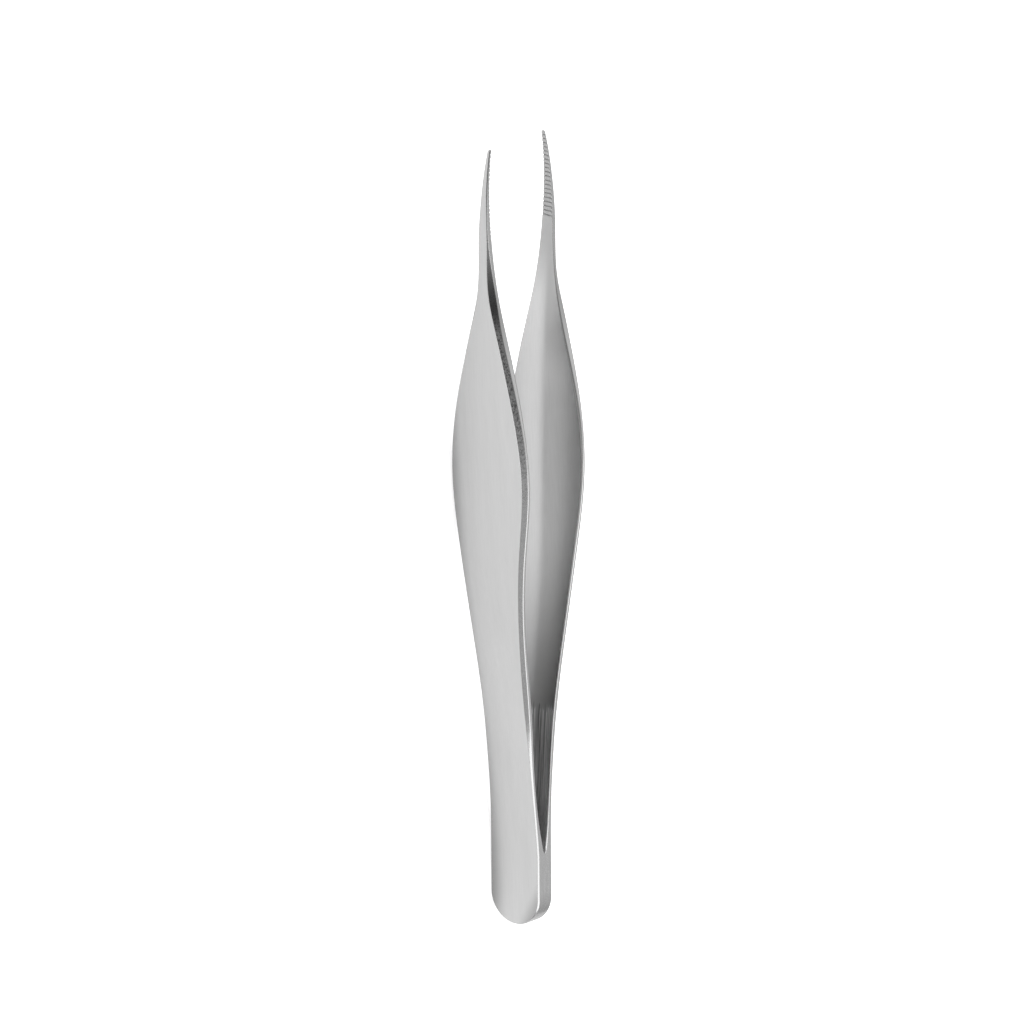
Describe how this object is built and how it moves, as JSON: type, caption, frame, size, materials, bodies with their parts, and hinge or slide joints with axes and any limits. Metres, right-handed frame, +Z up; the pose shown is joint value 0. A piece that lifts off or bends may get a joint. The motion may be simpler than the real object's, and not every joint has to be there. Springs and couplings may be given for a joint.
{
  "type": "thumb forceps",
  "caption": "Fine-point thumb forceps: bowed, leaf-shaped steel arms welded at a flat round-ended heel, with slim necks and cross-serrated jaws.",
  "frame": {"origin": "the middle of the footprint, on the surface that the forceps lie on", "axes": "+Y runs from the heel to the tips, +Z is up, and X is the direction in which the arms open, with the left arm at -X"},
  "size_m": [0.0158, 0.1199, 0.0146],
  "materials": {
    "satin_steel": "satin-finished stainless steel, with granular bevels and a ground spring section"
  },
  "bodies": {
    "root": {"left_arm": "satin_steel", "right_arm": "satin_steel"}
  },
  "joints": []
}
